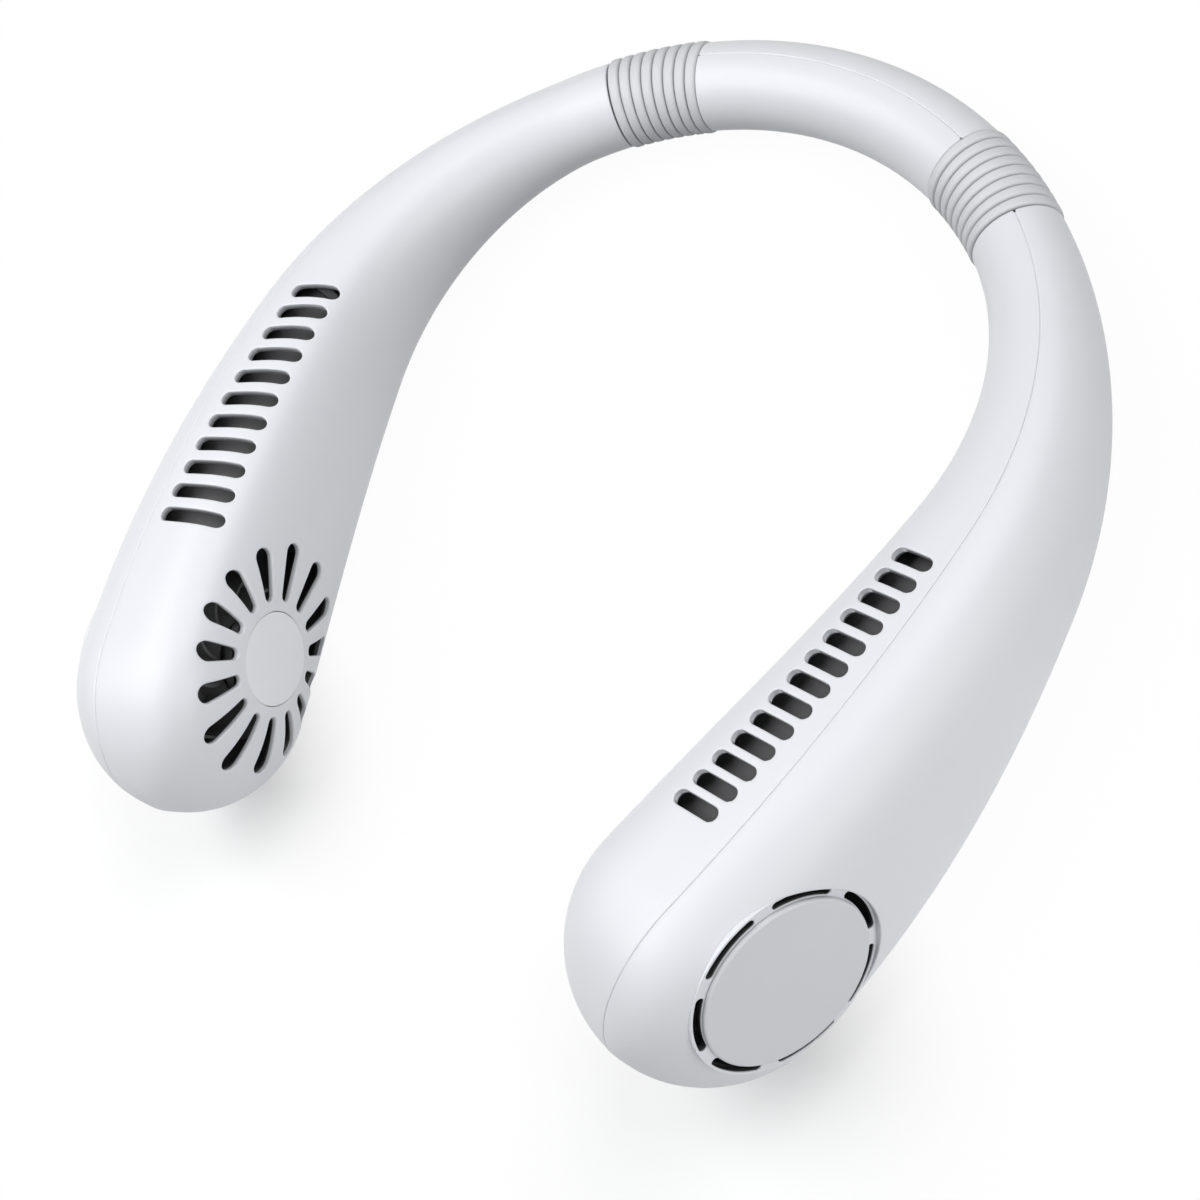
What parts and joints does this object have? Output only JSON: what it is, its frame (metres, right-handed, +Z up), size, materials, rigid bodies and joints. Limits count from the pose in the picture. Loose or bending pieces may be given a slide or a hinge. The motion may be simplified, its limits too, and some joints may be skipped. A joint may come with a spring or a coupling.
{
  "type": "electric neck fan",
  "caption": "Neck-worn bladeless fan: a white collar with ribbed flexible joints and a bulb-shaped blower end on each arm, with air slots, sunburst grille and disc cover.",
  "frame": {"origin": "middle of the footprint, on the table that the fan lies on", "axes": "+X to the fan's right arm, +Y to the band behind the neck, +Z up from the table"},
  "size_m": [0.2108, 0.2188, 0.0578],
  "materials": {
    "shell_white": "satin",
    "disc_grey": "fine satin",
    "sleeve_silicone": "matt silicone",
    "inner_white": "as moulded",
    "impeller_dark": "as moulded",
    "steel": "plated",
    "motor_can": "zinc plated",
    "bronze": "sintered",
    "cell_wrap": "shrink wrap",
    "board_green": "solder mask",
    "switch_black": "as moulded",
    "cable_grey": "matt",
    "lamp_clear": "clear"
  },
  "bodies": {
    "neck_band": {"band_outer_shell": "shell_white", "band_inner_shell": "shell_white", "band_cable": "cable_grey", "left_ribbed_sleeve": "sleeve_silicone", "left_spring_strip": "steel", "left_band_collar": "inner_white", "left_sleeve_cable": "cable_grey", "right_ribbed_sleeve": "sleeve_silicone", "right_spring_strip": "steel", "right_band_collar": "inner_white", "right_sleeve_cable": "cable_grey"},
    "left_arm": {"left_arm_inner_shell": "shell_white", "left_arm_outer_shell": "shell_white", "left_cover_disc": "disc_grey", "left_grille_cap": "disc_grey", "left_motor": "motor_can", "left_motor_bearing": "bronze", "left_motor_screws": "steel", "left_arm_collar": "inner_white", "left_battery": "cell_wrap", "left_front_cradle": "inner_white", "left_rear_cradle": "inner_white", "button_switch": "switch_black", "light_pipe": "lamp_clear", "usb_socket": "steel", "control_board": "board_green"},
    "right_arm": {"right_arm_inner_shell": "shell_white", "right_arm_outer_shell": "shell_white", "right_cover_disc": "disc_grey", "right_grille_cap": "disc_grey", "right_motor": "motor_can", "right_motor_bearing": "bronze", "right_motor_screws": "steel", "right_arm_collar": "inner_white", "right_battery": "cell_wrap", "right_front_cradle": "inner_white", "right_rear_cradle": "inner_white"},
    "left_impeller": {"left_impeller": "impeller_dark", "left_motor_shaft": "steel"},
    "right_impeller": {"right_impeller": "impeller_dark", "right_motor_shaft": "steel"},
    "power_button": {"power_button": "disc_grey"}
  },
  "joints": [
    {"name": "left_arm_spread", "type": "hinge", "parent": "neck_band", "child": "left_arm", "pos_m": [-0.03825, 0.09085, 0.01098], "axis": [0, -0.1138, -0.9935], "range_deg": [-8, 35], "stiffness_Nm_per_rad": 0.6, "deforming": ["left_ribbed_sleeve", "left_spring_strip", "left_sleeve_cable"]},
    {"name": "right_arm_spread", "type": "hinge", "parent": "neck_band", "child": "right_arm", "pos_m": [0.05224, 0.08251, 0.01193], "axis": [0, 0.1138, 0.9935], "range_deg": [-8, 35], "stiffness_Nm_per_rad": 0.6, "deforming": ["right_ribbed_sleeve", "right_spring_strip", "right_sleeve_cable"]},
    {"name": "left_impeller_spin", "type": "hinge", "parent": "left_arm", "child": "left_impeller", "pos_m": [-0.07496, -0.07353, 0.03021], "axis": [-0.9594, -0.2819, -0.0009], "continuous": true},
    {"name": "right_impeller_spin", "type": "hinge", "parent": "right_arm", "child": "right_impeller", "pos_m": [0.07472, -0.07351, 0.03021], "axis": [0.9427, -0.2519, 0.2187], "continuous": true},
    {"name": "power_button_press", "type": "slide", "parent": "left_arm", "child": "power_button", "axis": [0.9928, 0.1191, -0.0136], "range_m": [0, 0.0005], "stiffness_N_per_m": 400}
  ]
}
